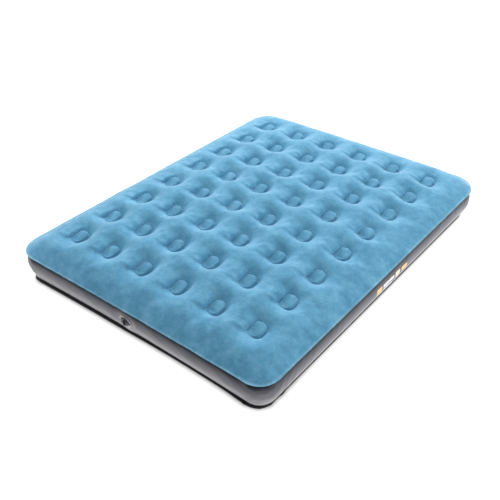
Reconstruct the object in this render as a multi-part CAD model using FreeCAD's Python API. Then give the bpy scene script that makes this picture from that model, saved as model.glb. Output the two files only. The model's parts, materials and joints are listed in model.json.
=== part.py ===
import FreeCAD, Part

import math
import os

# A queen-size single-high air mattress with a flocked top.
# Frame: millimetres, +Z up, +Y along the long side, +X along the short side.
# The origin is the middle of the underside. The valve is in the -Y end.

# ---- driving dimensions ----

LENGTH = 1980.0  # over the weld lips
WIDTH = 1500.0
HEIGHT = 250.0  # highest pillow, fully inflated
TOP_SEAM_Z = 159.0  # where the top sheet's lip lies on the side band's lip
BOTTOM_SEAM_Z = 20.0  # where the side band's lower lip lies on the bottom sheet's lip
CORNER_RADIUS = 95.0  # of the top lip, seen from above
SHEET = 2.0  # modelled sheet thickness, thicker than the real film
TOP_LIP = 9.0  # how far the weld lips stand out from the side
BOTTOM_LIP = 6.0
LIP_ROOT = 1.5  # a lip runs this far into its sheet's wall
BAND_LEAN = 23.0  # the side band leans out by this much from bottom to top

SHOULDER_RUN = 46.0  # the top sheet slopes in by this much above the lip
BOTTOM_RUN = 28.0  # and the bottom sheet below its lip
CLEAR_ABOVE = 30.0  # the top is trimmed from a block this much taller
TOP_CROWN_X = 30.0  # the top is lower by this much at its long edges
TOP_CROWN_Y = 30.0  # and by this much at its short edges

COLUMNS = 6  # coil tubes across the mattress
ROWS = 8  # and along it
PITCH_X = 215.0
PITCH_Y = 216.0
PAD_WIDTH = 72.0  # raised pad inside each tube's weld ring, across
PAD_LENGTH = 95.0  # and along the mattress
PAD_RISE = 9.0  # the pad stands above its groove by this much
PAD_EDGE_Z = 188.0  # height of a pad at the very edge
PAD_CROWN = 27.0  # how much higher a pad would be in the middle
PAD_END_FLAT = 8.0  # straight stretch in the middle of a pad's round end
GROOVE = 8.0  # width of the weld groove round each pad
CRATER_HEIGHT = 52.0  # a crater opens out this far above its groove, past the top
PAD_ROOT = 1.0  # a pad is rooted this far below its groove
BOTTOM_POCKET = 10.0  # the underside is drawn up by this much at each tube

TUBE_WALL = 2.0
TUBE_FLANGE = 7.0  # width of the welded flange at each end of a coil tube
VENT_RADIUS = 12.0  # air passes between the tubes and the chamber here
VENT_Z = 95.0

# Valve. Its own frame has u pointing out of the mattress, 0 on the side band's outer face.
VALVE_X = -20.0
VALVE_Z = 86.0
FLANGE_RADIUS = 34.0
FLANGE_THICK = 2.0
COLLAR_BORE = 22.0
COLLAR_OUTER = 24.5
COLLAR_DEPTH = 34.0
COLLAR_FIT = 0.5  # gap between the collar and its hole in the side band
EDGE_CHAMFER = 0.8
INSERT_RADIUS = 21.95  # slides in the collar
INSERT_BORE = 15.0
INSERT_DEPTH = 30.0
INSERT_RIM_RADIUS = 27.0
INSERT_RIM = (2.3, 5.5)  # u of the rim's two faces
SEAT_BORE = 12.0
SEAT_THICK = 6.0
INSERT_SEAL_U = -8.0
PLUG_RADIUS = 14.95  # slides in the insert
PLUG_INNER = 10.5
PLUG_DEPTH = 20.0
PLUG_SEALS_U = {"plug_seal_outer": -4.0, "plug_seal_inner": -12.0}
PLUG_CLEAR = 0.1  # gap between the plug's neck and the insert's face
NECK_RADIUS = 13.95  # the tether's ring turns on this
HEAD_RADIUS = 19.5
HEAD_FACES = (7.6, 10.6)
HEAD_RIM = 4.5  # width of the rim round the dished head
HEAD_DISH = 1.4
HEAD_WEB = 1.0  # the hollow stops this far short of the head
RING_FACES = (5.8, 7.4)
RING_BORE = 14.0
RING_RADIUS = 19.0
GRIP_LENGTH = 28.0
GRIP_WIDTH = 5.0
GRIP_TOP = 16.0
GRIP_ROOT_U = 8.1  # the grip is rooted inside the head
HINGE_W = 17.0  # flap hinge above the valve's axis
HINGE_U = -33.0
PIN_RADIUS = 1.0
PIN_LENGTH = 16.0
KNUCKLE_RADIUS = 2.2
KNUCKLE_LENGTH = 11.0
KNUCKLE_FIT = 0.05
FLAP_RADIUS = 14.5
FLAP_FACES = (-32.1, -30.1)
TONGUE_THIN = 0.7  # the tongue is thinner than the flap by this much
TONGUE_W = 10.0  # and starts this far above the valve's axis
EAR_GAP = 11.6
EAR_OUTER = 16.0
EAR_U = -36.0
EAR_W = (14.5, 19.8)
O_RING_SECTION = 1.2
O_RING_FIT = 0.05

# Tethers: flat strips curved round the plug and round the insert's rim.
STRAP_RADII = (21.0, 26.0)
STRAP_CUT_X = 18.0  # the plug's tether ends here, on its anchor
STRAP_ANCHOR_X = 23.0
INSERT_STRAP_RADII = (28.5, 33.0)
INSERT_STRAP_CUT_X = -24.0
INSERT_STRAP_ANCHOR_X = -29.0
STRAP_THICK = 1.5
ANCHOR_STEP = 0.6  # an anchor stands this much higher than its strap
TAB_HALF = 2.5
TAB_ROOT = 1.5  # a tab runs this far into the ring or rim it grows from
STRAP_REACH = 40.0  # further out than any strap

UP = FreeCAD.Vector(0, 0, 1)
OUT = FreeCAD.Vector(0, -1, 0)  # the valve's u direction, before it is leaned


# ---- outlines and lofts ----

def stadium_wire(half_width, half_length, radius, z, centre=(0.0, 0.0)):
    """Closed outline with straight sides and round corners, level at height z."""
    cx, cy = centre
    ax = half_width - radius
    ay = half_length - radius
    edges = []
    corners = [(ax, ay, 0), (-ax, ay, 90), (-ax, -ay, 180), (ax, -ay, 270)]
    arcs = []
    for x, y, start in corners:
        points = []
        for turn in (0, 45, 90):
            angle = math.radians(start + turn)
            px = cx + x + radius * math.cos(angle)
            py = cy + y + radius * math.sin(angle)
            points.append(FreeCAD.Vector(px, py, z))
        arcs.append(points)
    for i, points in enumerate(arcs):
        edges.append(Part.Arc(*points).toShape())
        following = arcs[(i + 1) % 4][0]
        if points[2].distanceToPoint(following) > 0.001:
            edges.append(Part.makeLine(points[2], following))
    return Part.Wire(edges)


def mattress_outline(inset, z):
    """The mattress's plan outline at height z, moved in by inset."""
    return stadium_wire(WIDTH / 2 - inset, LENGTH / 2 - inset, CORNER_RADIUS - inset, z)


def tube_outline(column, row, grow, z):
    """Outline concentric with one pad and larger than it all round by grow."""
    half_width = PAD_WIDTH / 2 + grow
    half_length = PAD_LENGTH / 2 + grow
    radius = half_width - PAD_END_FLAT / 2
    return stadium_wire(half_width, half_length, radius, z, pad_centre(column, row))


def loft(low, high):
    return Part.makeLoft([low, high], True, True)


def plate(wire, thickness):
    return Part.Face(wire).extrude(UP * thickness)


def ring_plate(outer, inner, thickness):
    return plate(outer, thickness).cut(plate(inner, thickness))


# ---- the grid of coil tubes ----

def pad_centre(column, row):
    x = (column - (COLUMNS - 1) / 2) * PITCH_X
    y = (row - (ROWS - 1) / 2) * PITCH_Y
    return x, y


def pad_height(column, row):
    """Pads are held lower towards the edges of the mattress."""
    x, y = pad_centre(column, row)
    fall_x = 1 - (x / (WIDTH / 2)) ** 2
    fall_y = 1 - (y / (LENGTH / 2)) ** 2
    return PAD_EDGE_Z + PAD_CROWN * fall_x * fall_y


def grid():
    for row in range(ROWS):
        for column in range(COLUMNS):
            yield column, row


# ---- sheets ----

def crowned_block(inset):
    """The air space under the top sheet as a solid, moved inwards by inset."""
    base = mattress_outline(TOP_LIP + inset, TOP_SEAM_Z)
    slope = SHOULDER_RUN / (HEIGHT - TOP_SEAM_Z)
    above = HEIGHT + CLEAR_ABOVE
    top = mattress_outline(TOP_LIP + SHOULDER_RUN + CLEAR_ABOVE * slope + inset, above)
    block = loft(base, top)
    half_width = WIDTH / 2
    half_length = LENGTH / 2
    radius_x = (half_width ** 2 + TOP_CROWN_X ** 2) / (2 * TOP_CROWN_X)
    radius_y = (half_length ** 2 + TOP_CROWN_Y ** 2) / (2 * TOP_CROWN_Y)
    # near its outer equator a very large ring is a dome with its own radius each way
    ring_centre = FreeCAD.Vector(0, 0, HEIGHT - inset - radius_y)
    dome = Part.makeTorus(radius_y - radius_x, radius_x, ring_centre, FreeCAD.Vector(1, 0, 0))
    return block.common(dome)


def top_pocket(column, row, inset):
    """What is cut away over one tube: a crater with the raised pad left standing in it."""
    pad_z = pad_height(column, row) - inset
    groove_z = pad_z - PAD_RISE
    crater_low = tube_outline(column, row, GROOVE + inset, groove_z)
    crater_high = tube_outline(column, row, GROOVE + CRATER_HEIGHT + inset, groove_z + CRATER_HEIGHT)
    pad_low = tube_outline(column, row, -inset, groove_z - PAD_ROOT)
    pad_high = tube_outline(column, row, -inset - PAD_RISE / 2, pad_z)
    return loft(crater_low, crater_high).cut(loft(pad_low, pad_high))


def quilted_top(inset):
    pockets = [top_pocket(column, row, inset) for column, row in grid()]
    return crowned_block(inset).cut(pockets)


def top_panel():
    """Flocked top sheet: crowned, drawn down at every tube, with a flat lip round the edge."""
    shell = quilted_top(0).cut(quilted_top(SHEET))
    inner_edge = mattress_outline(TOP_LIP + LIP_ROOT, TOP_SEAM_Z)
    lip = ring_plate(mattress_outline(0, TOP_SEAM_Z), inner_edge, SHEET)
    return shell.fuse(lip)


def band_block(inset):
    low = mattress_outline(TOP_LIP + BAND_LEAN + inset, BOTTOM_SEAM_Z)
    high = mattress_outline(TOP_LIP + inset, TOP_SEAM_Z)
    return loft(low, high)


def side_band():
    """Side band of smooth film, leaning out towards the top, with a lip at each edge."""
    wall = band_block(0).cut(band_block(SHEET))
    upper_z = TOP_SEAM_Z - SHEET
    lower_inset = TOP_LIP + BAND_LEAN
    upper = ring_plate(mattress_outline(0, upper_z), mattress_outline(TOP_LIP + LIP_ROOT, upper_z), SHEET)
    lower = ring_plate(
        mattress_outline(lower_inset - BOTTOM_LIP, BOTTOM_SEAM_Z),
        mattress_outline(lower_inset + LIP_ROOT, BOTTOM_SEAM_Z),
        SHEET,
    )
    band = wall.fuse(upper).fuse(lower)
    valve_hole = leaned(disc(COLLAR_OUTER + COLLAR_FIT, -3 * SHEET, 3 * SHEET))
    return band.cut(valve_hole).removeSplitter()


def bottom_block(inset):
    low = mattress_outline(TOP_LIP + BAND_LEAN + BOTTOM_RUN + inset, inset)
    high = mattress_outline(TOP_LIP + BAND_LEAN + inset, BOTTOM_SEAM_Z)
    return loft(low, high)


def bottom_pocket(column, row, inset):
    low = tube_outline(column, row, GROOVE + BOTTOM_POCKET + inset, inset - SHEET)
    high = tube_outline(column, row, GROOVE + inset, BOTTOM_POCKET + inset)
    return loft(low, high)


def bottom_panel():
    """Bottom sheet: flat on the floor, rolled up at the edge, drawn up a little at every tube."""
    outside = bottom_block(0).cut([bottom_pocket(column, row, 0) for column, row in grid()])
    inside = bottom_block(SHEET).cut([bottom_pocket(column, row, SHEET) for column, row in grid()])
    lip_inset = TOP_LIP + BAND_LEAN - BOTTOM_LIP
    lip_z = BOTTOM_SEAM_Z - SHEET
    lip = ring_plate(
        mattress_outline(lip_inset, lip_z), mattress_outline(lip_inset + BOTTOM_LIP + LIP_ROOT, lip_z), SHEET
    )
    return outside.cut(inside).fuse(lip).removeSplitter()


# ---- coil tubes ----

def coil_tube(column, row):
    """One upright tube that ties the top sheet to the bottom one, with two air vents."""
    low_z = BOTTOM_POCKET + SHEET
    high_z = pad_height(column, row) - PAD_RISE - SHEET
    wall = ring_plate(
        tube_outline(column, row, GROOVE / 2 + TUBE_WALL / 2, low_z),
        tube_outline(column, row, GROOVE / 2 - TUBE_WALL / 2, low_z),
        high_z - low_z,
    )
    tube = wall
    for z in (low_z, high_z - TUBE_WALL):
        flange = ring_plate(
            tube_outline(column, row, GROOVE / 2 + TUBE_FLANGE / 2, z),
            tube_outline(column, row, GROOVE / 2 - TUBE_FLANGE / 2, z),
            TUBE_WALL,
        )
        tube = tube.fuse(flange)
    x, y = pad_centre(column, row)
    vent_start = FreeCAD.Vector(x - PAD_WIDTH, y, VENT_Z)
    vent = Part.makeCylinder(VENT_RADIUS, 2 * PAD_WIDTH, vent_start, FreeCAD.Vector(1, 0, 0))
    return tube.cut(vent).removeSplitter()


def coil_row(row):
    return Part.makeCompound([coil_tube(column, row) for column in range(COLUMNS)])


# ---- valve, in its own frame and then leaned with the side band ----

def leaned(shape):
    """Put a valve piece made round the local axis into its place on the leaning side band."""
    angle = math.atan2(BAND_LEAN, TOP_SEAM_Z - BOTTOM_SEAM_Z)
    wall_y = -(LENGTH / 2 - TOP_LIP - BAND_LEAN) - (VALVE_Z - BOTTOM_SEAM_Z) * math.tan(angle)
    place = FreeCAD.Placement(
        FreeCAD.Vector(VALVE_X, wall_y, VALVE_Z),
        FreeCAD.Rotation(FreeCAD.Vector(1, 0, 0), math.degrees(angle)),
    )
    moved = shape.copy()
    moved.Placement = place.multiply(moved.Placement)
    return moved


def disc(radius, inner_u, outer_u):
    return Part.makeCylinder(radius, outer_u - inner_u, OUT * inner_u, OUT)


def tube(outer, bore, inner_u, outer_u):
    return disc(outer, inner_u, outer_u).cut(disc(bore, inner_u, outer_u))


def block(x_range, u_range, w_range):
    """Box between two x, two u and two w, where w is up."""
    corner = FreeCAD.Vector(x_range[0], -u_range[1], w_range[0])
    return Part.makeBox(x_range[1] - x_range[0], u_range[1] - u_range[0], w_range[1] - w_range[0], corner)


def o_ring(outer_radius, u):
    return Part.makeTorus(outer_radius - O_RING_SECTION, O_RING_SECTION, OUT * u, OUT)


def o_ring_groove(outer_radius, u):
    floor = outer_radius - 2 * O_RING_SECTION - O_RING_FIT
    half = O_RING_SECTION + O_RING_FIT
    return tube(outer_radius + 1, floor, u - half, u + half)


def cross_bar(radius, length, u, w):
    """Round bar across the valve, along x."""
    return Part.makeCylinder(radius, length, FreeCAD.Vector(-length / 2, -u, w), FreeCAD.Vector(1, 0, 0))


def valve_flange():
    """Welded ring with a collar that reaches into the air chamber."""
    ring = disc(FLANGE_RADIUS, 0, FLANGE_THICK)
    ring = ring.makeChamfer(EDGE_CHAMFER, [edge for edge in ring.Edges if edge_at_u(edge, FLANGE_THICK)])
    collar = disc(COLLAR_OUTER, -COLLAR_DEPTH, FLANGE_THICK)
    return ring.fuse(collar).cut(disc(COLLAR_BORE, -COLLAR_DEPTH, FLANGE_THICK)).removeSplitter()


def edge_at_u(edge, u):
    box = edge.BoundBox
    return abs(box.YMin + u) < 0.01 and abs(box.YMax + u) < 0.01


def valve_insert():
    """Push-in body: wide rim, seat for the flap, hinge ears and a tab for its own strap."""
    rim = disc(INSERT_RIM_RADIUS, *INSERT_RIM)
    rim = rim.makeChamfer(EDGE_CHAMFER, [edge for edge in rim.Edges if edge_at_u(edge, INSERT_RIM[1])])
    body = rim.fuse(disc(INSERT_RADIUS, -INSERT_DEPTH, INSERT_RIM[0]))
    body = body.cut(disc(INSERT_BORE, -INSERT_DEPTH + SEAT_THICK, INSERT_RIM[1]))
    body = body.cut(disc(SEAT_BORE, -INSERT_DEPTH, INSERT_RIM[1]))
    body = body.cut(o_ring_groove(INSERT_RADIUS, INSERT_SEAL_U))
    for side in (-1, 1):
        reach = sorted((side * EAR_GAP / 2, side * EAR_OUTER / 2))
        body = body.fuse(block(reach, (EAR_U, -INSERT_DEPTH), EAR_W))
    body = body.cut(cross_bar(PIN_RADIUS, PIN_LENGTH + 4, HINGE_U, HINGE_W))
    tab_reach = (INSERT_RIM_RADIUS - TAB_ROOT, INSERT_STRAP_RADII[1])
    tab = block(tab_reach, (INSERT_RIM[0], INSERT_RIM[0] + STRAP_THICK), (-TAB_HALF, TAB_HALF))
    return body.fuse(tab).removeSplitter()


def check_flap():
    """Disc that hangs on a knuckle and closes the insert from inside."""
    flap = disc(FLAP_RADIUS, *FLAP_FACES)
    half = KNUCKLE_LENGTH / 2
    tongue = block((-half, half), (FLAP_FACES[0], FLAP_FACES[1] - TONGUE_THIN), (TONGUE_W, HINGE_W))
    knuckle = cross_bar(KNUCKLE_RADIUS, KNUCKLE_LENGTH, HINGE_U, HINGE_W)
    bore = cross_bar(PIN_RADIUS + KNUCKLE_FIT, KNUCKLE_LENGTH, HINGE_U, HINGE_W)
    return flap.fuse(tongue).fuse(knuckle).cut(bore).removeSplitter()


def flap_pin():
    return cross_bar(PIN_RADIUS, PIN_LENGTH, HINGE_U, HINGE_W)


def plug():
    """Hollow stopper with a dished head and a grip bar across it."""
    body = disc(HEAD_RADIUS, *HEAD_FACES)
    body = body.makeChamfer(EDGE_CHAMFER, [edge for edge in body.Edges if edge_at_u(edge, HEAD_FACES[1])])
    body = body.cut(disc(HEAD_RADIUS - HEAD_RIM, HEAD_FACES[1] - HEAD_DISH, HEAD_FACES[1]))
    shaft = disc(PLUG_RADIUS, -PLUG_DEPTH, INSERT_RIM[1] + PLUG_CLEAR)
    neck = disc(NECK_RADIUS, INSERT_RIM[1], GRIP_ROOT_U)
    body = body.fuse(shaft).fuse(neck)
    body = body.cut(disc(PLUG_INNER, -PLUG_DEPTH, HEAD_FACES[0] - HEAD_WEB))
    for u in PLUG_SEALS_U.values():
        body = body.cut(o_ring_groove(PLUG_RADIUS, u))
    half_length = GRIP_LENGTH / 2
    half_width = GRIP_WIDTH / 2
    straight = half_length - half_width
    body = body.fuse(block((-half_width, half_width), (GRIP_ROOT_U, GRIP_TOP), (-straight, straight)))
    for end in (-straight, straight):
        foot = FreeCAD.Vector(0, -GRIP_ROOT_U, end)
        body = body.fuse(Part.makeCylinder(half_width, GRIP_TOP - GRIP_ROOT_U, foot, OUT))
    return body.removeSplitter()


def strap_ring():
    """Ring of the plug's tether. The plug turns in it, and it lifts out with the plug."""
    ring = disc(RING_RADIUS, *RING_FACES)
    tab = block((-STRAP_RADII[1], -RING_RADIUS + TAB_ROOT), RING_FACES, (-TAB_HALF, TAB_HALF))
    return ring.fuse(tab).cut(disc(RING_BORE, *RING_FACES)).removeSplitter()


def plug_strap():
    """Tether curved round the plug, from the ring's tab to the anchor."""
    band = tube(*STRAP_RADII[::-1], *RING_FACES)
    return band.common(block((-STRAP_REACH, STRAP_CUT_X), RING_FACES, (-STRAP_REACH, -TAB_HALF)))


def plug_strap_anchor():
    faces = (INSERT_RIM[1], RING_FACES[1] + ANCHOR_STEP)
    band = tube(*STRAP_RADII[::-1], *faces)
    return band.common(block((STRAP_CUT_X, STRAP_ANCHOR_X), faces, (-STRAP_REACH, -TAB_HALF)))


def insert_strap():
    """Tether curved round the insert's rim, from its tab to the anchor on the flange."""
    faces = (INSERT_RIM[0], INSERT_RIM[0] + STRAP_THICK)
    band = tube(*INSERT_STRAP_RADII[::-1], *faces)
    return band.common(block((INSERT_STRAP_CUT_X, STRAP_REACH), faces, (TAB_HALF, STRAP_REACH)))


def insert_strap_anchor():
    faces = (FLANGE_THICK, INSERT_RIM[0] + STRAP_THICK + ANCHOR_STEP)
    band = tube(*INSERT_STRAP_RADII[::-1], *faces)
    return band.common(block((INSERT_STRAP_ANCHOR_X, INSERT_STRAP_CUT_X), faces, (TAB_HALF, STRAP_REACH)))


# ---- all the pieces ----

def valve_pieces():
    pieces = {
        "valve_flange": valve_flange(),
        "valve_insert": valve_insert(),
        "insert_seal": o_ring(INSERT_RADIUS, INSERT_SEAL_U),
        "insert_strap": insert_strap(),
        "insert_strap_anchor": insert_strap_anchor(),
        "check_flap": check_flap(),
        "flap_pin": flap_pin(),
        "plug": plug(),
        "strap_ring": strap_ring(),
        "plug_strap": plug_strap(),
        "plug_strap_anchor": plug_strap_anchor(),
    }
    for name, u in PLUG_SEALS_U.items():
        pieces[name] = o_ring(PLUG_RADIUS, u)
    return {name: leaned(shape) for name, shape in pieces.items()}


def all_pieces():
    pieces = {
        "top_panel": top_panel(),
        "side_band": side_band(),
        "bottom_panel": bottom_panel(),
    }
    for row in range(ROWS):
        pieces["coil_row_%d" % (row + 1)] = coil_row(row)
    pieces.update(valve_pieces())
    return pieces


def main():
    os.makedirs("parts", exist_ok=True)
    for name, shape in all_pieces().items():
        shape.exportStep("parts/%s.step" % name)
        print(name, shape.isValid(), len(shape.Solids), round(shape.Volume / 1000, 2), "cm3")


main()
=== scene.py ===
import json
import math
import random

import bpy
import numpy as np
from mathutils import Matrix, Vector


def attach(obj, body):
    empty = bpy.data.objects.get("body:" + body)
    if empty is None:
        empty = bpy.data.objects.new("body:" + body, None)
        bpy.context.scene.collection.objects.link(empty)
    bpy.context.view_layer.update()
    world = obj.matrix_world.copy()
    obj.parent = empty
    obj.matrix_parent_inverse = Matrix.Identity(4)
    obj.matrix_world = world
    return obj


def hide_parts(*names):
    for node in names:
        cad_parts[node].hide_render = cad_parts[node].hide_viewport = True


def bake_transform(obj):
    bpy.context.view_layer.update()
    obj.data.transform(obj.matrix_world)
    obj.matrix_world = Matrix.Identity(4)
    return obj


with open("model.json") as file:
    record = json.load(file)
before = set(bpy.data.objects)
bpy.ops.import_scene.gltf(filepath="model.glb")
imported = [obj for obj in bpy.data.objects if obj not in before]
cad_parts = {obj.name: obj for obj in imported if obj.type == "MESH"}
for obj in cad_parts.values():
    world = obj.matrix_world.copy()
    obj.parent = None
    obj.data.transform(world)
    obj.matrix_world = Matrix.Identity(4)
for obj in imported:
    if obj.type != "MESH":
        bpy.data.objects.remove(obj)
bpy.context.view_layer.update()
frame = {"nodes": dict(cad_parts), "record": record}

# ---- sizes, in metres ----
# The outline, the lips, the pitch of the pads and the valve's place are the CAD part's.
# The rest is shaped to look soft, and differs from the CAD by some millimetres.

HALF_WIDTH = 0.750
HALF_LENGTH = 0.990
CORNER = 0.098
CORNER_SLACK = {  # by signs of x and y: extra radius at the top seam and at the foot
    (-1, -1): (0.032, 0.004),
    (1, -1): (0.0, 0.0),
    (1, 1): (0.062, 0.062),
    (-1, 1): (0.012, 0.012),
}
TOP_LIP = 0.009
BOTTOM_LIP = 0.006
TOP_SEAM_Z = 0.1595
BOTTOM_SEAM_Z = 0.021
BAND_LEAN = 0.023
COLUMNS = 6
ROWS = 8
PITCH = (0.215, 0.216)
PAD_HALF = (0.031, 0.042)  # the raised part of a pad, shorter than its weld
STADIUM_FLAT = 0.003  # half of the straight stretch across a pad's end
PAD_SHIFT = (0.0, -0.003)  # the raised part stands this much off the middle of its weld
PAD_TILT = (-0.08, 0.15)  # rise per metre along x and y
TILT_LIFT = 0.0065
PAD_EDGE_Z = 0.188
PAD_CROWN = 0.027  # how much higher a pad would be in the middle
GROOVE = 0.007  # the weld holds the sheet down to half of this outside a pad
PAD_RISE = 0.009
GROOVE_LIFT = 0.002  # the cover lies this far above the CAD groove, clear of the tubes' flanges
RIM_CURL = 0.006
PAD_STEP = 0.0100  # the step on a pad's +X and +Y sides
PAD_DOME = 0.0035
PAD_RING = 0.0008  # faint ring inside the pad's edge
CREASE_OFFSET = 0.004  # the crease runs this far outside a pad's -X side
CREASE_DEPTH = 0.0100
CREASE_WIDTH = 0.0024
CREASE_RUN = (0.010, 0.010, 0.016, 0.030)  # past the pad's -Y end, ease in, end along y, ease out
MOAT_DEPTH = 0.0025  # narrow groove at the foot of the step
MOAT_PLACE, MOAT_WIDTH = 0.001, 0.0025
STEP_WIDTH = 0.0028
RING_INSET, RING_WIDTH = 0.012, 0.002
GATHER = 0.006  # grid points this close to a pad's outline are gathered in to it
APRON = 0.022  # on a pad's +Y side the weld holds the sheet this far out, rising at the slope below
APRON_SLOPE = 0.45
APRON_SIDE = (0.2, 0.98)
WALL_HEIGHT = 0.016  # the sheet stands up this much more beside the crease
WALL_RISE, WALL_FADE = 0.006, 0.036
WALL_RUN = (0.022, 0.025, 0.060, 0.060)  # the same four lengths as the crease's

VALVE_X = -0.020
VALVE_Z = 0.086
CAD_SEAMS_Z = (0.020, 0.159)  # the valve leans with the CAD part's wall, between these heights
VALVE_LEAN = math.atan2(BAND_LEAN, CAD_SEAMS_Z[1] - CAD_SEAMS_Z[0])
VALVE_Y = -(HALF_LENGTH - TOP_LIP - BAND_LEAN) - (VALVE_Z - CAD_SEAMS_Z[0]) * math.tan(VALVE_LEAN)
VALVE_HOLE = 0.0275
VALVE_FLAT = (0.037, 0.045)  # the band is flat out to this radius, and eases out of it over this width

SEAM_PULL = 0.006  # the ends' top seam is drawn in by this much halfway along
FOOT_PULL = 0.015  # and their bottom seam by this much

FINE_X, COARSE_X = 0.0041, 0.0085  # spacing of the cover's grid near a pad and between pads
FINE_Y, COARSE_Y = 0.0041, 0.0088
NEAR_PAD, NEAR_CREASE = 0.013, 0.020  # the fine grid reaches this far past a pad
CREASE_BAND = (0.008, 0.006)  # it is twice as fine from this far outside the crease to this far inside

MEMBRANE_STEP = 0.005
MEMBRANE_LOAD = 8.3  # air pressure over sheet tension, per metre
EDGE_LOAD = 6.0  # less near the edge
EDGE_EASE = (0.06, 0.16)  # the load grows from this far inside the edge, over this width

CLOTH_STEP = 0.0115
CLOTH_FRAMES = 18
CLOTH_SLACK = 0.007  # the sheet is cut this share larger than the shape it starts from
CLOTH_CAP = 0.007  # no point's height changes by more than this
CLOTH_PRESSURE = 4.0

BAND_PROFILE = 22  # steps up the band's wall
BAND_SAMPLES = 130  # points round it, per metre
BAND_TUCK = 0.009  # the band is tucked in by this much under the top lip
BAND_BULGE = 0.024  # sets its swell between the seams, which comes to about 0.020
BAND_RIPPLE = (0.0006, 0.0016)  # all round, and this much more at the corners

BOTTOM_ROLL = 0.006  # how far in from its edge the bottom sheet starts to roll up
ROLL_Z = 0.006
FOOT_Z = BOTTOM_SEAM_Z - 0.0015
FOOT_OUT = 0.010  # at the two short ends the little wall stands out this much further
RECESS = 0.007  # how much further in it stands along the +X side
FOOT_RIPPLE = (0.0006, 0.0034)  # all round, and this much more at the corners
POCKET_DEPTH, POCKET_EDGE = 0.012, 0.045  # the pocket under each pad, and the width it eases out over
TUCK_SHARE = 0.9  # how much of the short ends' extra roll is tucked back towards +X
# Rings above the rolled edge, first up the little wall and then out along the lip:
# outward steps along x and y, height, looseness
BOTTOM_WALL = (
    (0.0022, 0.0022, 0.0090, 0.5),
    (0.0042, 0.0042, 0.0130, 1.0),
    (0.0044, 0.0036, 0.0160, 1.0),
    (0.0030, 0.0010, 0.0185, 0.6),
    (0.0006, 0.0006 - FOOT_OUT, FOOT_Z, 0.2),
    (0.0020, 0.0020 - FOOT_OUT, FOOT_Z, 0.5),
    (0.0036, 0.0036 - FOOT_OUT, FOOT_Z, 1.0),
)

# ---- colours ----

FLOCK_TONES = [
    (0.30, (0.121, 0.325, 0.477)),
    (0.50, (0.185, 0.431, 0.602)),
    (0.70, (0.282, 0.550, 0.716)),
]
LIP_HIGHLIGHT_TONES = [(0.0, (1.0, 1.0, 1.0)), (1.0, (0.62, 0.80, 0.88))]  # painted highlight: the welded lip is painted paler than the nap, for the light it catches
SPECKLE = [(0.36, (0.88, 0.90, 0.92)), (0.64, (1.0, 1.0, 1.0))]  # tufts of nap that lie differently
BAND_SHADE = [  # painted shade: the grey gets darker from the band's foot to the overhanging top seam
    (0.00, (1.0, 1.0, 1.0)),
    (0.10, (0.85, 0.85, 0.86)),
    (0.30, (0.55, 0.55, 0.56)),
    (0.60, (0.30, 0.30, 0.32)),
    (0.78, (0.12, 0.13, 0.16)),
    (0.90, (0.01, 0.02, 0.03)),
]
STEEL_TONES = [(0.3, (0.45, 0.45, 0.46)), (0.7, (0.62, 0.62, 0.63))]
ORANGE_INK = (0.84, 0.52, 0.24)
CREAM_INK = (0.82, 0.74, 0.55)
WHITE_INK = (0.86, 0.86, 0.86)
PRINT_BARS = (  # centre along y and z, half sizes, ink
    ((-0.120, 0.098), (0.022, 0.016), ORANGE_INK),
    ((-0.035, 0.104), (0.050, 0.007), WHITE_INK),
    ((-0.045, 0.084), (0.040, 0.004), WHITE_INK),
    ((0.050, 0.100), (0.020, 0.014), CREAM_INK),
    ((0.115, 0.100), (0.026, 0.012), ORANGE_INK),
)

# ---- stage, light and camera ----

FLOOR_SIZE = 30
FLOOR_COLOUR = (0.40, 0.40, 0.40)
FLOOR_GLOW = 0.93
CONTACT_SHADOW = 0.022  # the floor is darker this close to the mattress
WORLD_STRENGTH = 0.34
LAMP_TARGET = (0, 0.1, 0)
LAMPS = (  # name, place, size, watts
    ("behind_left", (-3.6, 5.0, 3.4), 2.3, 480),
    ("left", (-5.5, -2.5, 2.6), 2.4, 140),
    ("behind_right", (3.8, 4.4, 2.4), 2.4, 120),
    ("right", (4.4, 0.2, 1.1), 2.0, 55),
    ("above", (-1.0, 0.6, 5.5), 2.6, 75),
)
CAMERA_LENS = 49.97
CAMERA_PLACE = (1.8057, -2.4223, 2.0847)
CAMERA_TURN = 38.12  # degrees about the upright axis
CAMERA_DOWN = 35.488  # degrees below level


# ---- helpers ----

def smooth(t):
    t = np.clip(t, 0.0, 1.0)
    return t * t * (3 - 2 * t)


def noise_field(seed, waves, low, high):
    """Seeded sum of plane waves over x and y, mostly between -1 and 1. low and high bound the wavelengths."""
    rng = random.Random(seed)
    terms = []
    for _ in range(waves):
        length = low * (high / low) ** rng.random()
        angle = rng.uniform(0, math.tau)
        phase = rng.uniform(0, math.tau)
        terms.append((math.tau / length * math.cos(angle), math.tau / length * math.sin(angle), phase))

    def field(x, y):
        total = 0.0
        for kx, ky, phase in terms:
            total = total + np.sin(kx * x + ky * y + phase)
        return total / math.sqrt(waves)

    return field


def stadium_distance(x, y, half_x, half_y):
    """Signed distance outside an upright stadium centred on the origin, negative inside."""
    radius = half_x - STADIUM_FLAT
    dx = np.abs(x) - (half_x - radius)
    dy = np.abs(y) - (half_y - radius)
    outside = np.hypot(np.maximum(dx, 0), np.maximum(dy, 0))
    inside = np.minimum(np.maximum(dx, dy), 0)
    return outside + inside - radius


def pad_centres():
    for row in range(ROWS):
        for column in range(COLUMNS):
            x = (column - (COLUMNS - 1) / 2) * PITCH[0] + PAD_SHIFT[0]
            y = (row - (ROWS - 1) / 2) * PITCH[1] + PAD_SHIFT[1]
            yield x, y


def pad_height(x, y):
    """Height of a pad's middle: the pads near the edge lie lower."""
    return PAD_EDGE_Z + PAD_CROWN * (1 - (x / HALF_WIDTH) ** 2) * (1 - (y / HALF_LENGTH) ** 2)


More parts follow.
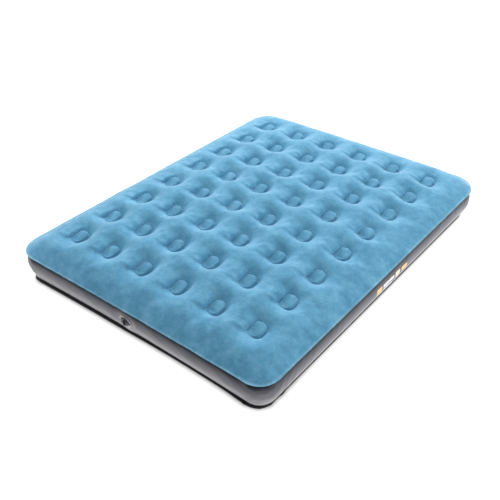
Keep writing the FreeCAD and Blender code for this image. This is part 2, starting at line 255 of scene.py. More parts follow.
def corner_radius(x, y, inset):
    """Radius of the corner nearest to each point, for an outline this far in."""
    radius = CORNER - inset
    foot = np.clip((inset - TOP_LIP) / (0.7 * BAND_LEAN), 0, 1)
    for (side_x, side_y), (top_slack, foot_slack) in CORNER_SLACK.items():
        slack = top_slack + (foot_slack - top_slack) * foot
        radius = radius + slack * ((x * side_x >= 0) & (y * side_y > 0))
    return radius


def rounded(x, y, half_x, half_y, inset):
    """Moves points of a rectangle so that its corners become quarter circles."""
    corner = corner_radius(x, y, inset)
    ax = (np.abs(x) - (half_x - corner)) / corner
    ay = (np.abs(y) - (half_y - corner)) / corner
    in_corner = (ax > 0) & (ay > 0)
    ax_c = np.clip(ax, 0, 1)
    ay_c = np.clip(ay, 0, 1)
    bx = ax_c * np.sqrt(1 - ay_c ** 2 / 2)
    by = ay_c * np.sqrt(1 - ax_c ** 2 / 2)
    new_x = np.where(in_corner, np.sign(x) * (half_x - corner + bx * corner), x)
    new_y = np.where(in_corner, np.sign(y) * (half_y - corner + by * corner), y)
    return new_x, new_y


def pull_in(x, y, z):
    """The two short ends are drawn in between their corners, more at the foot than at the top seam."""
    share = np.clip((TOP_SEAM_Z - z) / (TOP_SEAM_Z - BOTTOM_SEAM_Z), 0, 1)
    amount = SEAM_PULL + (FOOT_PULL - SEAM_PULL) * share
    along = np.clip(1 - (x / (HALF_WIDTH - 0.05)) ** 2, 0, 1)
    near_end = np.clip(np.abs(y) / HALF_LENGTH, 0, 1) ** 6
    return y - np.sign(y) * amount * along * near_end


def mesh_object(name, points, faces):
    mesh = bpy.data.meshes.new(name)
    mesh.from_pydata([tuple(p) for p in points], [], faces)
    mesh.validate()
    mesh.polygons.foreach_set("use_smooth", [True] * len(mesh.polygons))
    mesh.update()
    obj = bpy.data.objects.new(name, mesh)
    bpy.context.scene.collection.objects.link(obj)
    return obj


def grid_faces(rows, columns, closed=False):
    faces = []
    across = columns if closed else columns - 1
    for j in range(rows - 1):
        for i in range(across):
            a = j * columns + i
            b = j * columns + (i + 1) % columns
            faces.append((a, b, b + columns, a + columns))
    return faces


# ---- the top cover ----

def fine_stops(low, high, fine, crease):
    """Evenly spaced stops from low to high, twice as close over the crease if there is one."""
    if crease is None:
        parts = [(low, high, fine)]
    else:
        middle = (low + high) / 2
        first = middle - crease - CREASE_BAND[0]
        last = middle - crease + CREASE_BAND[1]
        parts = [(low, first, fine), (first, last, fine / 2), (last, high, fine)]
    stops = []
    for start, end, spacing in parts:
        m = max(1, round((end - start) / spacing))
        stops += [start + (end - start) * (i + 1) / m for i in range(m)]
    return stops


def line_stops(half, pitch, count, pad_half, shift, fine, coarse, crease=None):
    """Grid lines across one direction, closer together round each pad."""
    near = pad_half + (NEAR_CREASE if crease else NEAR_PAD)
    stops = [-half]
    edges = []
    for k in range(count):
        centre = (k - (count - 1) / 2) * pitch + shift
        edges.append((centre - near, centre + near))
    position = -half
    for low, high in edges + [(half, half)]:
        n = max(1, round((low - position) / coarse))
        stops += [position + (low - position) * (i + 1) / n for i in range(n)]
        if high > low:
            stops += fine_stops(low, high, fine, crease)
        position = high
    return np.array(stops)


def membrane(half_x, half_y, edge_z, load, held):
    """Height of a sheet under pressure over a rectangle, fixed at its edge and where held() says.

    It is relaxed on grids from coarse to fine, each started from the one before.
    """
    guess = None
    for factor in (8, 4, 2, 1):
        step = MEMBRANE_STEP * factor
        nx = int(round(2 * half_x / step)) + 1
        ny = int(round(2 * half_y / step)) + 1
        xs = np.linspace(-half_x, half_x, nx)
        ys = np.linspace(-half_y, half_y, ny)
        gx, gy = np.meshgrid(xs, ys)
        fixed, value = held(gx, gy)
        fixed[0, :] = fixed[-1, :] = True
        fixed[:, 0] = fixed[:, -1] = True
        value[0, :] = value[-1, :] = edge_z
        value[:, 0] = value[:, -1] = edge_z
        z = np.where(fixed, value, sample(guess, gx, gy) if guess else edge_z)
        hx, hy = xs[1] - xs[0], ys[1] - ys[0]
        wx, wy = 1 / hx ** 2, 1 / hy ** 2
        edge = np.minimum(half_x - np.abs(gx), half_y - np.abs(gy))[1:-1, 1:-1]
        press = EDGE_LOAD + (load - EDGE_LOAD) * smooth((edge - EDGE_EASE[0]) / EDGE_EASE[1])
        free = ~fixed[1:-1, 1:-1]
        parity = np.add.outer(np.arange(1, ny - 1), np.arange(1, nx - 1)) % 2
        over = 1.93 if factor < 4 else 1.8
        for _ in range(260 if factor > 1 else 160):
            for colour in (0, 1):
                around = (z[1:-1, :-2] + z[1:-1, 2:]) * wx + (z[:-2, 1:-1] + z[2:, 1:-1]) * wy
                target = (around + press) / (2 * wx + 2 * wy)
                step_z = np.where(free & (parity == colour), over * (target - z[1:-1, 1:-1]), 0)
                z[1:-1, 1:-1] += step_z
        guess = (xs, ys, z)
    return guess


def sample(field, x, y):
    """Bilinear look-up in a field of (xs, ys, values)."""
    xs, ys, values = field
    fx = np.clip((x - xs[0]) / (xs[1] - xs[0]), 0, len(xs) - 1.0001)
    fy = np.clip((y - ys[0]) / (ys[1] - ys[0]), 0, len(ys) - 1.0001)
    i, j = fx.astype(int), fy.astype(int)
    tx, ty = fx - i, fy - j
    low = values[j, i] * (1 - tx) + values[j, i + 1] * tx
    high = values[j + 1, i] * (1 - tx) + values[j + 1, i + 1] * tx
    return low * (1 - ty) + high * ty


def top_held(gx, gy):
    """Where the cover is held by its pads, and at what height."""
    fixed = np.zeros(gx.shape, bool)
    value = np.full(gx.shape, TOP_SEAM_Z)
    for cx, cy in pad_centres():
        x, y = gx - cx, gy - cy
        d = stadium_distance(x, y, *PAD_HALF)
        apron = np.clip((APRON_SIDE[0] * x + APRON_SIDE[1] * y) / np.maximum(np.hypot(x, y), 0.001), 0, 1)
        inside = d < GROOVE * 0.5 + APRON * apron
        rise = APRON_SLOPE * np.maximum(d - GROOVE * 0.5, 0)
        fixed |= inside
        value[inside] = (pad_floor(x, y, pad_height(cx, cy)) + rise)[inside]
    return fixed, value


def pad_share(x, y):
    """How much of its full step a pad has: all on the +X and +Y sides, none at the -X -Y corner."""
    return smooth((0.7 * x / PAD_HALF[0] + 0.7 * y / PAD_HALF[1] + 1.0) / 1.4)


def pad_floor(x, y, pad_z):
    """Height of the weld under a pad.

    It slopes down towards the -Y end and the +X side, and curves up into the sheet where the pad has no step.
    """
    tilt = TILT_LIFT + PAD_TILT[0] * x + PAD_TILT[1] * y
    d = stadium_distance(x, y, *PAD_HALF)
    curl = RIM_CURL * (1 - pad_share(x, y)) * smooth((d + 0.020) / 0.022)
    return pad_z - PAD_RISE + GROOVE_LIFT + np.maximum(tilt, -0.001) + curl


def along_pad(y, run):
    """1 beside a pad and 0 past both ends.

    run holds how far past the -Y end it starts, its ease in, its end along y and its ease out.
    """
    past, ease_in, end, ease_out = run
    return smooth((y + PAD_HALF[1] + past) / ease_in) * smooth((end - y) / ease_out)


def pad_shape(z, x, y, pad_z):
    """Adds one raised pad to heights z around it. Along its -X side the sheet stands over a sharp crease."""
    half_x, half_y = PAD_HALF
    d = stadium_distance(x, y, half_x, half_y)
    share = 0.1 + 0.9 * pad_share(x, y)
    step = smooth(-d / STEP_WIDTH) ** 0.6
    dome = PAD_DOME * share * np.sqrt(np.clip(-d / half_x, 0, 1))
    ring = PAD_RING * np.exp(-((d + RING_INSET) / RING_WIDTH) ** 2)
    pad = pad_floor(x, y, pad_z) + PAD_STEP * share * step + dome - ring * share
    moat = MOAT_DEPTH * pad_share(x, y) * np.exp(-((d - MOAT_PLACE) / MOAT_WIDTH) ** 2)
    z = np.where(d < 0, pad, z - moat)
    out = -(x + half_x + CREASE_OFFSET)
    crease = CREASE_DEPTH * np.exp(-(out / CREASE_WIDTH) ** 2)
    beyond = np.maximum(out, 0)
    wall = WALL_HEIGHT * (1 - np.exp(-beyond / WALL_RISE)) * np.exp(-beyond / WALL_FADE)
    return z - crease * along_pad(y, CREASE_RUN) + wall * along_pad(y, WALL_RUN)


def cloth_change(field, half_x, half_y):
    """Blows the cover up as cloth, held at its rim and its pads. Returns the change in height as a field."""
    xs = np.linspace(-half_x, half_x, int(2 * half_x / CLOTH_STEP) + 1)
    ys = np.linspace(-half_y, half_y, int(2 * half_y / CLOTH_STEP) + 1)
    gx, gy = np.meshgrid(xs, ys)
    gz = sample(field, gx, gy)
    held, _ = top_held(gx, gy)
    held[0, :] = held[-1, :] = True
    held[:, 0] = held[:, -1] = True
    sheet = mesh_object("cover_cloth", list(zip(gx.ravel(), gy.ravel(), gz.ravel())), grid_faces(*gx.shape))
    pins = sheet.vertex_groups.new(name="pins")
    pins.add([int(i) for i in np.flatnonzero(held.ravel())], 1.0, "REPLACE")
    cloth = sheet.modifiers.new("cloth", "CLOTH")
    settings = cloth.settings
    settings.vertex_group_mass = "pins"
    settings.quality = 6
    settings.mass = 0.05
    settings.air_damping = 4.0
    settings.bending_stiffness = 3.0
    settings.shrink_min = -CLOTH_SLACK
    settings.use_pressure = True
    settings.uniform_pressure_force = CLOTH_PRESSURE
    settings.effector_weights.gravity = 0.0
    cloth.collision_settings.use_collision = False
    cloth.point_cache.frame_start = 1
    cloth.point_cache.frame_end = CLOTH_FRAMES
    scene = bpy.context.scene
    for step in range(1, CLOTH_FRAMES + 1):
        scene.frame_set(step)
    solved = sheet.evaluated_get(bpy.context.evaluated_depsgraph_get()).to_mesh()
    places = np.zeros(len(solved.vertices) * 3)
    solved.vertices.foreach_get("co", places)
    change = places.reshape(-1, 3)[:, 2].reshape(gx.shape) - gz
    bpy.data.objects.remove(sheet)
    scene.frame_set(1)
    for _ in range(2):
        change[1:-1, 1:-1] = (change[1:-1, 1:-1] * 4 + change[1:-1, :-2] + change[1:-1, 2:]
                              + change[:-2, 1:-1] + change[2:, 1:-1]) / 8
    return xs, ys, CLOTH_CAP * np.tanh(change / CLOTH_CAP)


def gathered(gx, gy):
    """Moves grid points towards the outline of the pad they are next to, so that its step is crisp."""
    gx, gy = gx.copy(), gy.copy()
    tiny = 0.0001
    for cx, cy in pad_centres():
        x, y = gx - cx, gy - cy
        d = stadium_distance(x, y, *PAD_HALF)
        near = np.abs(d) < GATHER
        x, y, d = x[near], y[near], d[near]
        slope_x = (stadium_distance(x + tiny, y, *PAD_HALF) - d) / tiny
        slope_y = (stadium_distance(x, y + tiny, *PAD_HALF) - d) / tiny
        shift = d * np.abs(d) / GATHER - d
        gx[near] += shift * slope_x
        gy[near] += shift * slope_y
    return gx, gy


def top_cover():
    """The blue top sheet with its 48 pads and its welded lip."""
    half_x = HALF_WIDTH - TOP_LIP
    half_y = HALF_LENGTH - TOP_LIP
    field = membrane(half_x, half_y, TOP_SEAM_Z, MEMBRANE_LOAD, top_held)
    crease = PAD_HALF[0] + CREASE_OFFSET
    xs = line_stops(half_x, PITCH[0], COLUMNS, PAD_HALF[0], PAD_SHIFT[0], FINE_X, COARSE_X, crease=crease)
    ys = line_stops(half_y, PITCH[1], ROWS, PAD_HALF[1], PAD_SHIFT[1], FINE_Y, COARSE_Y)
    gx, gy = gathered(*np.meshgrid(xs, ys))
    gz = sample(field, gx, gy)
    gz = gz + sample(cloth_change(field, half_x, half_y), gx, gy)
    for cx, cy in pad_centres():
        near = (np.abs(gx - cx) < 0.10) & (np.abs(gy - cy) < 0.085)
        x, y = gx[near] - cx, gy[near] - cy
        gz[near] = pad_shape(gz[near], x, y, pad_height(cx, cy))
    px, py = rounded(gx, gy, half_x, half_y, TOP_LIP)
    py = pull_in(px, py, gz)
    rows, columns = gx.shape
    points = list(zip(px.ravel(), py.ravel(), gz.ravel()))
    faces = grid_faces(rows, columns)
    rim = rim_indices(rows, columns)
    add_lip(points, faces, rim, gx.ravel(), gy.ravel(), (half_x, half_y), TOP_LIP - 0.0005, TOP_SEAM_Z)
    return mesh_object("top_cover", points, faces)


def rim_indices(rows, columns):
    """Indices round the edge of a grid, counter-clockwise seen from above."""
    south = list(range(columns))
    east = [j * columns + columns - 1 for j in range(1, rows)]
    north = [(rows - 1) * columns + i for i in range(columns - 2, -1, -1)]
    west = [j * columns for j in range(rows - 2, 0, -1)]
    return south + east + north + west


def add_lip(points, faces, rim, gx, gy, halves, width, z):
    """Nearly flat strip outside the rim of a cover, following the same rounded outline."""
    steps = 3
    previous = rim
    wave = noise_field(11, 14, 0.05, 0.4)
    for k in range(1, steps + 1):
        grow = width * k / steps
        scale_x = (halves[0] + grow) / halves[0]
        scale_y = (halves[1] + grow) / halves[1]
        ring = []
        for index in rim:
            x, y = rounded(
                np.array(gx[index] * scale_x),
                np.array(gy[index] * scale_y),
                halves[0] + grow,
                halves[1] + grow,
                TOP_LIP - grow,
            )
            y = pull_in(x, y, z)
            lift = 0.0010 * k / steps * float(wave(x, y))
            ring.append(len(points))
            points.append((float(x), float(y), z + lift))
        for i in range(len(rim)):
            j = (i + 1) % len(rim)
            faces.append((previous[i], ring[i], ring[j], previous[j]))
        previous = ring


# ---- the side band ----

def perimeter():
    """Directions round the rectangle as points on its edge, counter-clockwise from the -X -Y corner."""
    corners = [(-1, -1), (1, -1), (1, 1), (-1, 1)]
    out = []
    for k in range(4):
        a = corners[k]
        b = corners[(k + 1) % 4]
        length = 2 * (HALF_WIDTH if k % 2 == 0 else HALF_LENGTH)
        n = int(length * BAND_SAMPLES)
        for i in range(n):
            t = i / n
            out.append((a[0] + (b[0] - a[0]) * t, a[1] + (b[1] - a[1]) * t))
    return np.array(out)


def outline_at(directions, inset, z):
    """The rounded outline at one height, as x and y for each direction."""
    half_x = HALF_WIDTH - inset
    half_y = HALF_LENGTH - inset
    x, y = rounded(directions[:, 0] * half_x, directions[:, 1] * half_y, half_x, half_y, inset * 0.8)
    return x, pull_in(x, y, z)


def band_profile():
    """Pairs of inset and height, from the lower lip's edge, up the wall and out to the upper lip's edge."""
    low_inset = TOP_LIP + BAND_LEAN
    low_z = BOTTOM_SEAM_Z + 0.0006
    high_z = TOP_SEAM_Z - 0.0012
    profile = [
        (low_inset - 0.6 * BOTTOM_LIP, low_z),
        (low_inset - BOTTOM_LIP * 0.3, low_z),
        (low_inset - 0.001, low_z + 0.0004),
    ]
    for k in range(1, BAND_PROFILE):
        t = k / BAND_PROFILE
        bulge = BAND_BULGE * math.sin(math.pi * t) - 0.004 * t ** 3
        tuck = BAND_TUCK * float(smooth((t - 0.80) / 0.20))
        inset = low_inset + (TOP_LIP - low_inset) * t - bulge * (1 - 0.3 * t) + tuck
        profile.append((inset, low_z + (high_z - low_z) * t))
    profile += [(TOP_LIP + BAND_TUCK, high_z - 0.002), (TOP_LIP + BAND_TUCK - 0.001, high_z)]
    profile += [(TOP_LIP * share, high_z) for share in (1.0, 0.5, 0.07)]
    return profile


def valve_plane_y(z):
    """Where the valve's leaning face is at height z."""
    return VALVE_Y - (z - VALVE_Z) * math.tan(VALVE_LEAN)


def side_band():
    """The swelling side sheet, flat round the valve and open where the valve passes through."""
    directions = perimeter()
    count = len(directions)
    wrinkle = noise_field(5, 18, 0.05, 0.30)
    points = []
    for inset, z in band_profile():
        x, y = outline_at(directions, inset, z)
        length = np.hypot(x, y)
        wall = smooth((z - BOTTOM_SEAM_Z) / 0.02) * smooth((TOP_SEAM_Z - z) / 0.02)
        near_x = smooth((np.abs(x) - (HALF_WIDTH - 0.30)) / 0.25)
        near_y = smooth((np.abs(y) - (HALF_LENGTH - 0.30)) / 0.25)
        corner = near_x * near_y
        ripple = (BAND_RIPPLE[0] + BAND_RIPPLE[1] * corner) * wall * wrinkle(x + y, z * 3.0 + x - y)
        nx, ny = x / length, y / length
        x = x + nx * ripple
        y = y + ny * ripple
        distance = np.hypot(x - VALVE_X, z - VALVE_Z)
        flat = (1 - smooth((distance - VALVE_FLAT[0]) / VALVE_FLAT[1])) * (y < 0)
        y = y * (1 - flat) + (valve_plane_y(z) + 0.0003) * flat
        points += list(zip(x, y, np.full(count, z)))
    faces = grid_faces(len(band_profile()), count, closed=True)
    hole = []
    for face in faces:
        centre = np.mean([points[i] for i in face], axis=0)
        inside = centre[1] < -0.9 and math.hypot(centre[0] - VALVE_X, centre[2] - VALVE_Z) < VALVE_HOLE
        hole.append(inside)
    faces = [face for face, inside in zip(faces, hole) if not inside]
    return mesh_object("side_band_film", points, faces)


# ---- the bottom sheet ----

def tucked(x, y):
    """Towards +X the roll at the short ends is tucked back under the band, except round the corner itself."""
    share = smooth((x + 0.15) / 0.45) * (1 - 0.7 * smooth((x - 0.50) / 0.12))
    near_end = np.clip(np.abs(y) / HALF_LENGTH, 0, 1) ** 8
    return y - np.sign(y) * TUCK_SHARE * FOOT_OUT * share * near_end


def edge_stops(half, count):
    """Even stops with extra ones where the sheet rolls up at each end."""
    inner = half - BOTTOM_ROLL
    roll = [half - BOTTOM_ROLL * (1 - math.cos(math.pi / 2 * k / 7)) for k in range(7)]
    middle = np.linspace(-inner, inner, count)
    return np.array([-v for v in roll] + list(middle) + roll[::-1])


def bottom_sheet():
    """The dark bottom sheet: flat with shallow pockets, and rolled up at its edge to a lip."""
    lip_inset = TOP_LIP + BAND_LEAN
    half_x = HALF_WIDTH - lip_inset
    half_y = HALF_LENGTH - lip_inset + FOOT_OUT
    xs = edge_stops(half_x, 120)
    ys = edge_stops(half_y, 160)
    gx, gy = np.meshgrid(xs, ys)
    edge = np.minimum(half_x - np.abs(gx), half_y - np.abs(gy))
    roll = np.clip(1 - edge / BOTTOM_ROLL, 0, 1)
    gz = ROLL_Z * (1 - np.sqrt(np.clip(1 - roll ** 2, 0, 1)))
    for cx, cy in pad_centres():
        d = stadium_distance(gx - cx, gy - cy, *PAD_HALF)
        gz = np.maximum(gz, POCKET_DEPTH * (1 - smooth(d / POCKET_EDGE)))
    px, py = rounded(gx, gy, half_x, half_y, lip_inset * 0.8 - FOOT_OUT)
    py = tucked(px, pull_in(px, py, gz))
    points = list(zip(px.ravel(), py.ravel(), gz.ravel()))
    rows, columns = gx.shape
    faces = [face[::-1] for face in grid_faces(rows, columns)]
    rim = rim_indices(rows, columns)
    crumple = noise_field(23, 16, 0.025, 0.12)
    previous = rim
    flat_x, flat_y = gx.ravel(), gy.ravel()
    for grow, grow_y, z, loose in BOTTOM_WALL:
        ring = []
        for index in rim:
            hidden = RECESS * (flat_x[index] > 0) * float(smooth((flat_y[index] + 0.85) / 0.35))
            hx, hy = half_x + grow - hidden * min(1.0, z / 0.013), half_y + grow_y
            x, y = rounded(
                np.array(flat_x[index] * hx / half_x),
                np.array(flat_y[index] * hy / half_y),
                hx,
                hy,
                lip_inset * 0.8 - FOOT_OUT - grow_y,
            )
            corner = float(smooth((abs(x) - 0.52) / 0.15) * smooth((abs(y) - 0.76) / 0.15))
            ripple = (FOOT_RIPPLE[0] + FOOT_RIPPLE[1] * corner) * loose * float(crumple(x, y))
            y = pull_in(x, y, z)
            if z < FOOT_Z:
                y = tucked(x, y)
            ring.append(len(points))
            moved_x = float(x) + ripple * np.sign(x)
            moved_y = float(y) + ripple * np.sign(y)
            points.append((moved_x, moved_y, z - abs(ripple) * 0.5))
        for i in range(len(rim)):
            j = (i + 1) % len(rim)
            faces.append((previous[i], previous[j], ring[j], ring[i]))
        previous = ring
    return mesh_object("bottom_sheet", points, faces)


# ---- straps ----

def valve_point(x, u, w):
    """From the valve's own frame, with u outwards and w up, to the part's frame."""
    c, s = math.cos(VALVE_LEAN), math.sin(VALVE_LEAN)
    return Vector((VALVE_X + x, VALVE_Y - u * c - w * s, VALVE_Z - u * s + w * c))


def strap(name, inner, outer, low_u, high_u, start, end):
    """Flat strap bent round the valve between two angles in degrees, with soft long edges."""
    steps = 40
    profile = []
    mid_r, half_r = (inner + outer) / 2, (outer - inner) / 2
    mid_u, half_u = (low_u + high_u) / 2, (high_u - low_u) / 2
    for k in range(12):
        a = math.tau * k / 12
        r = mid_r + half_r * math.copysign(abs(math.cos(a)) ** 0.35, math.cos(a))
        u = mid_u + half_u * math.copysign(abs(math.sin(a)) ** 0.35, math.sin(a))
        profile.append((r, u))
    points = []
    for i in range(steps + 1):
        angle = math.radians(start + (end - start) * i / steps)
        for r, u in profile:
            points.append(valve_point(r * math.cos(angle), u, r * math.sin(angle)))
    faces = grid_faces(steps + 1, len(profile), closed=True)
    faces.append(tuple(range(len(profile)))[::-1])
    last = steps * len(profile)
    faces.append(tuple(last + k for k in range(len(profile))))
    return mesh_object(name, points, faces)


# ---- materials ----

def new_material(name):
    material = bpy.data.materials.new(name)
    material.use_nodes = True
    nodes = material.node_tree.nodes
    shader = nodes["Principled BSDF"]
    return material, nodes, material.node_tree.links, shader


def noise_node(nodes, links, scale, detail=4.0, roughness=0.5, stretch=(1, 1, 1)):
    coordinates = nodes.new("ShaderNodeTexCoord")
    mapping = nodes.new("ShaderNodeMapping")
    mapping.inputs["Scale"].default_value = stretch
    noise = nodes.new("ShaderNodeTexNoise")
    noise.inputs["Scale"].default_value = scale
    noise.inputs["Detail"].default_value = detail
    noise.inputs["Roughness"].default_value = roughness
    links.new(coordinates.outputs["Object"], mapping.inputs["Vector"])
    links.new(mapping.outputs["Vector"], noise.inputs["Vector"])
    return noise


def ramp_node(nodes, links, source, stops):
    ramp = nodes.new("ShaderNodeValToRGB")
    elements = ramp.color_ramp.elements
    while len(elements) < len(stops):
        elements.new(0.5)
    for element, (position, colour) in zip(elements, stops):
        element.position = position
        element.color = (*colour, 1)
    links.new(source, ramp.inputs["Fac"])
    return ramp


def bump_node(nodes, links, shader, source, distance, strength, below=None):
    bump = nodes.new("ShaderNodeBump")
    bump.inputs["Distance"].default_value = distance
    bump.inputs["Strength"].default_value = strength
    links.new(source, bump.inputs["Height"])
    if below:
        links.new(below.outputs["Normal"], bump.inputs["Normal"])
    links.new(bump.outputs["Normal"], shader.inputs["Normal"])
    return bump


def height_ramp(nodes, links, low_z, high_z, stops):
    """Colour by height in the object, from low_z to high_z."""
    coordinates = nodes.new("ShaderNodeTexCoord")
    split = nodes.new("ShaderNodeSeparateXYZ")
    span = nodes.new("ShaderNodeMapRange")
    span.inputs["From Min"].default_value = low_z
    span.inputs["From Max"].default_value = high_z
    links.new(coordinates.outputs["Object"], split.inputs["Vector"])
    links.new(split.outputs["Z"], span.inputs["Value"])
    return ramp_node(nodes, links, span.outputs["Result"], stops)


def multiply_node(nodes, links, first, second):
    """The product of two colours. Inputs 6 and 7 and output 2 are the node's colour sockets."""
    mix = nodes.new("ShaderNodeMix")
    mix.data_type = "RGBA"
    mix.blend_type = "MULTIPLY"
    mix.inputs[0].default_value = 1.0
    links.new(first, mix.inputs[6])
    links.new(second, mix.inputs[7])
    return mix.outputs[2]


def math_node(nodes, links, operation, *values):
    node = nodes.new("ShaderNodeMath")
    node.operation = operation
    for socket, value in zip(node.inputs, values):
        if isinstance(value, (int, float)):
            socket.default_value = value
        else:
            links.new(value, socket)
    return node.outputs["Value"]


def inside_node(nodes, links, value, centre, half):
    """1 where value is within half of centre."""
    offset = math_node(nodes, links, "SUBTRACT", value, centre)
    size = math_node(nodes, links, "ABSOLUTE", offset)
    return math_node(nodes, links, "LESS_THAN", size, half)


def printed(nodes, links, colour):
    """Adds plain printed bars on the +X side, in place of words."""
    coordinates = nodes.new("ShaderNodeTexCoord")
    split = nodes.new("ShaderNodeSeparateXYZ")
    links.new(coordinates.outputs["Object"], split.inputs["Vector"])
    side = math_node(nodes, links, "GREATER_THAN", split.outputs["X"], HALF_WIDTH - 0.06)
    for (y, z), (half_y, half_z), tint in PRINT_BARS:
        along = inside_node(nodes, links, split.outputs["Y"], y, half_y)
        up = inside_node(nodes, links, split.outputs["Z"], z, half_z)
        mask = math_node(nodes, links, "MULTIPLY", math_node(nodes, links, "MULTIPLY", along, up), side)
        mix = nodes.new("ShaderNodeMix")
        mix.data_type = "RGBA"
        links.new(mask, mix.inputs[0])
        links.new(colour, mix.inputs[6])
        mix.inputs[7].default_value = (*tint, 1)
        colour = mix.outputs[2]
    return colour


def flock_material():
    """Short flock on film: soft sheen, brushed blotches and a fine nap."""
    material, nodes, links, shader = new_material("flock_blue")
    brushed = noise_node(nodes, links, 16.0, 8.0, 0.72)
    colour = ramp_node(nodes, links, brushed.outputs["Fac"], FLOCK_TONES)
    # painted highlight: the lip at the top seam is painted paler than the nap
    lip_highlight = height_ramp(nodes, links, TOP_SEAM_Z + 0.001, TOP_SEAM_Z + 0.003, LIP_HIGHLIGHT_TONES)
    nap_tone_and_highlight = multiply_node(nodes, links, colour.outputs["Color"], lip_highlight.outputs["Color"])
    grain = noise_node(nodes, links, 120.0, 4.0, 0.7)
    speckle = ramp_node(nodes, links, grain.outputs["Fac"], SPECKLE)
    nap_tone_and_highlight = multiply_node(nodes, links, nap_tone_and_highlight, speckle.outputs["Color"])
    links.new(nap_tone_and_highlight, shader.inputs["Base Color"])
    shader.inputs["Roughness"].default_value = 0.92
    shader.inputs["Specular IOR Level"].default_value = 0.15
    shader.inputs["Sheen Weight"].default_value = 0.8
    shader.inputs["Sheen Roughness"].default_value = 0.35
    shader.inputs["Sheen Tint"].default_value = (0.62, 0.86, 1.0, 1)
    nap = noise_node(nodes, links, 900.0, 2.0)
    mottle = noise_node(nodes, links, 45.0, 6.0, 0.7)
    first = bump_node(nodes, links, shader, mottle.outputs["Fac"], 0.004, 0.5)
    bump_node(nodes, links, shader, nap.outputs["Fac"], 0.0004, 0.5, below=first)
    return material


def film_material(name, low, high, roughness, shade=None):
    """Soft plastic film with faint ripples and scuffs. If shade gives tones by height, it is printed too."""
    material, nodes, links, shader = new_material(name)
    scuff = noise_node(nodes, links, 14.0, 5.0, 0.6)
    colour = ramp_node(nodes, links, scuff.outputs["Fac"], [(0.35, low), (0.65, high)]).outputs["Color"]
    if shade:
        tones = height_ramp(nodes, links, BOTTOM_SEAM_Z, TOP_SEAM_Z, shade)
        colour = multiply_node(nodes, links, colour, tones.outputs["Color"])
        colour = printed(nodes, links, colour)
    links.new(colour, shader.inputs["Base Color"])
    shader.inputs["Roughness"].default_value = roughness
    shader.inputs["Specular IOR Level"].default_value = 0.32
    ripple = noise_node(nodes, links, 26.0, 2.0, 0.4)
    bump_node(nodes, links, shader, ripple.outputs["Fac"], 0.002, 0.25)
    return material


def moulded_material(name, low, high, roughness):
    """Moulded plastic or rubber with a fine texture."""
    material, nodes, links, shader = new_material(name)
    tone = noise_node(nodes, links, 60.0, 3.0)
    colour = ramp_node(nodes, links, tone.outputs["Fac"], [(0.4, low), (0.6, high)])
    links.new(colour.outputs["Color"], shader.inputs["Base Color"])
    shader.inputs["Roughness"].default_value = roughness
    grain = noise_node(nodes, links, 1200.0, 2.0)
    bump_node(nodes, links, shader, grain.outputs["Fac"], 0.0002, 0.3)
    return material


def steel_material():
    material, nodes, links, shader = new_material("pin_steel")
    tone = noise_node(nodes, links, 500.0, 2.0, 0.5, (1, 20, 20))
    colour = ramp_node(nodes, links, tone.outputs["Fac"], STEEL_TONES)
    links.new(colour.outputs["Color"], shader.inputs["Base Color"])
    shader.inputs["Metallic"].default_value = 1.0
    shader.inputs["Roughness"].default_value = 0.35
    return material


def paint(obj, material):
    obj.data.materials.clear()
    obj.data.materials.append(material)


# ---- build ----

FLOCK = flock_material()
BAND_FILM = film_material("band_film", (0.42, 0.42, 0.44), (0.50, 0.50, 0.52), 0.36, BAND_SHADE)
# black film, partly painted shade: kept near black with little shine so that it also stands for the shade in
# the gap under the mattress's foot
DARK_FILM = film_material("dark_film", (0.006, 0.006, 0.007), (0.010, 0.010, 0.011), 0.6)
DARK_FILM.node_tree.nodes["Principled BSDF"].inputs["Specular IOR Level"].default_value = 0.12
COIL_FILM = film_material("coil_film", (0.26, 0.28, 0.30), (0.32, 0.34, 0.36), 0.5)
SOFT_MOULDED = moulded_material("valve_soft", (0.44, 0.44, 0.46), (0.50, 0.50, 0.52), 0.30)
HARD_MOULDED = moulded_material("valve_hard", (0.012, 0.012, 0.013), (0.018, 0.018, 0.020), 0.22)
SEAL_RUBBER = moulded_material("seal_rubber", (0.010, 0.010, 0.010), (0.016, 0.016, 0.016), 0.7)
PIN_STEEL = steel_material()

SLOT_MATERIALS = {
    "flocked_top": FLOCK,
    "side_film": BAND_FILM,
    "bottom_film": DARK_FILM,
    "coil_film": COIL_FILM,
    "valve_soft": SOFT_MOULDED,
    "valve_hard": HARD_MOULDED,
    "seal_rubber": SEAL_RUBBER,
    "pin_steel": PIN_STEEL,
}

for part in frame["record"]["subparts"]:
    paint(frame["nodes"][part["node"]], SLOT_MATERIALS[part["material_slot"]])

cover = top_cover()
band = side_band()
base = bottom_sheet()
paint(cover, FLOCK)
paint(band, BAND_FILM)
paint(base, DARK_FILM)
for piece, node, slot_name in (
    (cover, "top_panel", "flocked_top"),
    (band, "side_band", "side_film"),
    (base, "bottom_panel", "bottom_film"),
):
    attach(piece, "mattress")
    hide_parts(node)

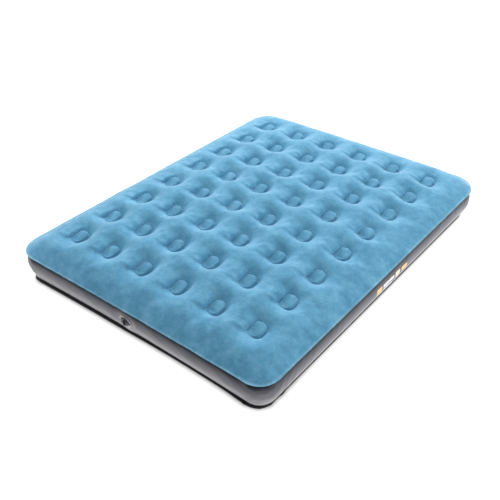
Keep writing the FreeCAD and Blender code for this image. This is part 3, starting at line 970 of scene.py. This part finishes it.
plug_tether = strap(
    "plug_tether",
    inner=0.0210,
    outer=0.0260,
    low_u=0.0058,
    high_u=0.0074,
    start=186.0,
    end=320.0,
)
insert_tether = strap(
    "insert_tether",
    inner=0.0285,
    outer=0.0330,
    low_u=0.0023,
    high_u=0.0038,
    start=4.5,
    end=141.0,
)
for piece, node in ((plug_tether, "plug_strap"), (insert_tether, "insert_strap")):
    paint(piece, SOFT_MOULDED)
    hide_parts(node)
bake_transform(plug_tether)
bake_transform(insert_tether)


# ---- build the stage ----

def studio():
    bpy.ops.mesh.primitive_plane_add(size=FLOOR_SIZE, location=(0, 0, 0))
    floor = bpy.context.active_object
    floor.name = "floor"
    material, nodes, links, shader = new_material("floor_white")
    shader.inputs["Base Color"].default_value = (*FLOOR_COLOUR, 1)
    shader.inputs["Roughness"].default_value = 0.9
    shader.inputs["Specular IOR Level"].default_value = 0.0
    contact = nodes.new("ShaderNodeAmbientOcclusion")
    contact.inputs["Distance"].default_value = CONTACT_SHADOW
    links.new(contact.outputs["Color"], shader.inputs["Emission Color"])
    shader.inputs["Emission Strength"].default_value = FLOOR_GLOW
    paint(floor, material)
    world = bpy.data.worlds.new("studio")
    bpy.context.scene.world = world
    world.use_nodes = True
    world.node_tree.nodes["Background"].inputs["Color"].default_value = (1, 1, 1, 1)
    world.node_tree.nodes["Background"].inputs["Strength"].default_value = WORLD_STRENGTH
    for name, place, size, power in LAMPS:
        lamp(name, place, LAMP_TARGET, size, power)


def lamp(name, place, target, size, power):
    data = bpy.data.lights.new(name, "AREA")
    data.size = size
    data.energy = power
    obj = bpy.data.objects.new(name, data)
    bpy.context.scene.collection.objects.link(obj)
    obj.location = place
    aim = Vector(target) - Vector(place)
    obj.rotation_euler = aim.to_track_quat("-Z", "Y").to_euler()


def camera():
    data = bpy.data.cameras.new("camera")
    data.lens = CAMERA_LENS
    data.sensor_width = 36.0
    obj = bpy.data.objects.new("camera", data)
    bpy.context.scene.collection.objects.link(obj)
    obj.location = CAMERA_PLACE
    obj.rotation_euler = (math.pi / 2 - math.radians(CAMERA_DOWN), 0, math.radians(CAMERA_TURN))
    bpy.context.scene.camera = obj


studio()
camera()
bpy.context.scene.view_settings.view_transform = "Standard"
